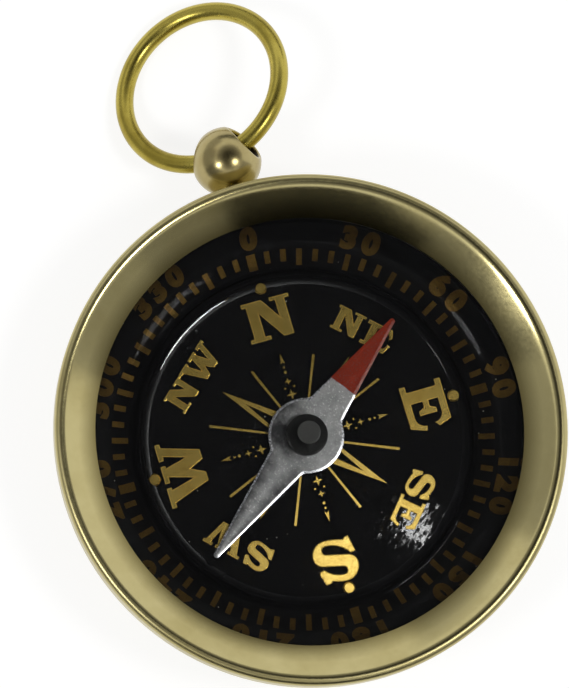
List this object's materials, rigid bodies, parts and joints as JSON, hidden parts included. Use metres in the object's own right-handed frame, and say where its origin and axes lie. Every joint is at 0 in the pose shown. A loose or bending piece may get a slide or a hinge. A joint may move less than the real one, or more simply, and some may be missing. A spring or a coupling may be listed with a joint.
{
  "type": "pocket compass",
  "caption": "Round open-face brass pocket compass with a flat glass, a raised black dial, a free-turning needle and a loose wire bow through a ball pendant.",
  "frame": {"origin": "middle of the flat back of the case", "axes": "+Z out through the glass, +Y towards the pendant and north on the dial, +X towards east on the dial"},
  "size_m": [0.045, 0.0631, 0.012],
  "materials": {
    "case_brass": "polished, slightly tarnished brass",
    "bow_brass": "drawn brass wire",
    "pivot_brass": "turned brass",
    "clear_glass": "flat clear glass",
    "spacer_black": "matt black painted brass strip",
    "dial_black": "black lacquer with gold print",
    "needle_steel": "dull grey steel, north arm painted red",
    "pin_steel": "hardened steel",
    "cap_black": "glossy black moulding",
    "jewel_glass": "polished cup"
  },
  "bodies": {
    "case": {"case_body": "case_brass", "bezel_ring": "case_brass", "crystal": "clear_glass", "spacer_ring": "spacer_black", "dial_plate": "dial_black", "pivot_post": "pivot_brass", "pivot_pin": "pin_steel", "pendant": "case_brass"},
    "needle": {"needle_blade": "needle_steel", "needle_cap": "cap_black", "cap_jewel": "jewel_glass"},
    "bow": {"bow_ring": "bow_brass"}
  },
  "joints": [
    {"name": "needle_turn", "type": "hinge", "parent": "case", "child": "needle", "pos_m": [0, 0, 0.008], "axis": [0, 0, -1], "continuous": true},
    {"name": "bow_swing", "type": "hinge", "parent": "case", "child": "bow", "pos_m": [0, 0.0263, 0.0074], "axis": [0.9135, 0, 0.4067], "range_deg": [-102, 142]}
  ]
}
